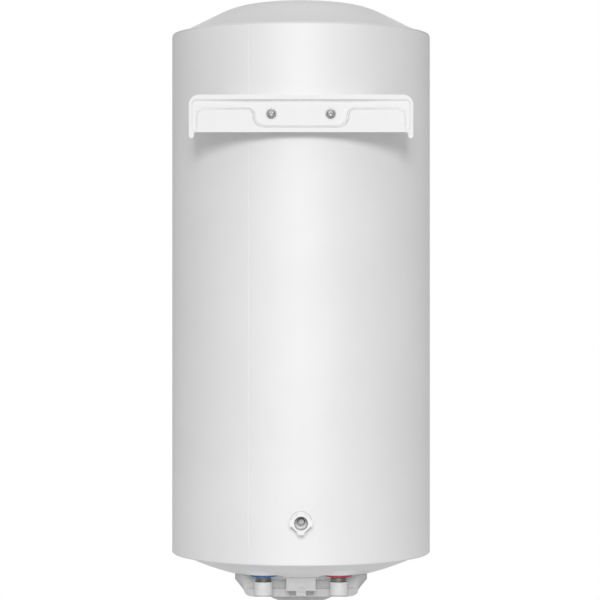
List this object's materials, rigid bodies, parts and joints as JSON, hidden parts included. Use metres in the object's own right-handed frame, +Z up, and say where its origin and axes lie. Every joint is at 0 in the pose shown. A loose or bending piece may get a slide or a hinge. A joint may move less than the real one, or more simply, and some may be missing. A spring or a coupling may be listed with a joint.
{
  "type": "tank water heater",
  "caption": "Slim upright electric storage water heater for a wall, with a pressed hanging bracket, screw-out spacer, ringed cold and hot pipe ends and a service cover below.",
  "frame": {"origin": "on the wall-side flat face of the hanging bracket, at the middle of its lower strip", "axes": "+Z up along the tank; +Y towards the wall, out of the bracket face; +X to the cold (blue) pipe side"},
  "size_m": [0.353, 0.377, 0.8356],
  "materials": {
    "enamelled_casing": "smooth white enamel",
    "bracket_paint": "satin white powder coat",
    "white_plastic": "matte white",
    "cover_plastic": "satin pale grey-white",
    "spacer_plastic": "matte white",
    "cap_plastic": "soft translucent white",
    "blue_plastic": "satin blue",
    "red_plastic": "satin red",
    "thread_steel": "threaded grey steel",
    "stainless_tube": "drawn",
    "tank_steel": "bare rolled steel",
    "zinc_steel": "zinc plated",
    "chrome_trim": "polished",
    "pu_foam": "rigid foam",
    "copper_sheath": "drawn copper",
    "magnesium": "dull",
    "gasket_rubber": "matte",
    "black_plastic": "matte",
    "dial_white": "matte printed",
    "clear_lens": "clear",
    "lamp_red": "translucent",
    "lamp_green": "translucent",
    "wire_brown": "satin",
    "wire_blue": "satin"
  },
  "bodies": {
    "heater": {"anode_rod": "magnesium", "bottom_cap": "enamelled_casing", "bottom_cover": "cover_plastic", "bracket_boss_cold_side": "tank_steel", "bracket_boss_hot_side": "tank_steel", "bracket_screw_cold_side": "zinc_steel", "bracket_screw_hot_side": "zinc_steel", "casing": "enamelled_casing", "cold_diffuser": "white_plastic", "cold_inlet_pipe": "thread_steel", "cold_ring_blue": "blue_plastic", "cover_screw_cold_side": "zinc_steel", "cover_screw_hot_side": "zinc_steel", "element_terminal_1": "zinc_steel", "element_terminal_2": "zinc_steel", "flange_bolt_1": "zinc_steel", "flange_bolt_2": "zinc_steel", "flange_bolt_3": "zinc_steel", "flange_bolt_4": "zinc_steel", "flange_bolt_5": "zinc_steel", "flange_gasket": "gasket_rubber", "flange_neck": "tank_steel", "flange_plate": "zinc_steel", "foam_fill_plug": "white_plastic", "foam_insulation": "pu_foam", "gauge_bezel": "chrome_trim", "gauge_case": "black_plastic", "gauge_dial": "dial_white", "gauge_lens": "clear_lens", "heating_element": "copper_sheath", "heating_lamp": "lamp_red", "hot_dip_tube": "stainless_tube", "hot_outlet_pipe": "thread_steel", "hot_ring_red": "red_plastic", "live_wire": "wire_brown", "neutral_wire": "wire_blue", "power_lamp": "lamp_green", "spacer_socket": "spacer_plastic", "spacer_stud": "zinc_steel", "tank_bottom_head": "tank_steel", "tank_shell": "tank_steel", "tank_top_head": "tank_steel", "terminal_block": "white_plastic", "thermal_cutout": "black_plastic", "thermostat": "black_plastic", "thermostat_bulb": "copper_sheath", "thermowell": "copper_sheath", "top_cap": "enamelled_casing", "wall_bracket": "bracket_paint"},
    "knob": {"temperature_knob": "cover_plastic", "thermostat_shaft": "zinc_steel"},
    "dial_pointer": {"gauge_pointer": "red_plastic"},
    "safety_button": {"reset_button": "red_plastic"},
    "spacer_foot": {"wall_spacer": "spacer_plastic"},
    "cold_cap": {"cold_thread_cap": "cap_plastic"},
    "hot_cap": {"hot_thread_cap": "cap_plastic"}
  },
  "joints": [
    {"name": "knob_turn", "type": "hinge", "parent": "heater", "child": "knob", "pos_m": [0, -0.2065, -0.632], "axis": [0, 0, -1], "range_deg": [0, 270]},
    {"name": "pointer_turn", "type": "hinge", "parent": "heater", "child": "dial_pointer", "pos_m": [0, -0.373, -0.4143], "axis": [0, 1, 0], "range_deg": [0, 240]},
    {"name": "button_press", "type": "slide", "parent": "heater", "child": "safety_button", "axis": [0, 0, 1], "range_m": [0, 0.0016], "stiffness_N_per_m": 800, "springref_m": -0.0005},
    {"name": "spacer_screw", "type": "slide", "parent": "heater", "child": "spacer_foot", "axis": [0, 1, 0], "range_m": [-0.007, 0.008]},
    {"name": "cold_cap_pull", "type": "slide", "parent": "heater", "child": "cold_cap", "axis": [0, 0, -1], "range_m": [0, 0.025]},
    {"name": "hot_cap_pull", "type": "slide", "parent": "heater", "child": "hot_cap", "axis": [0, 0, -1], "range_m": [0, 0.025]}
  ]
}
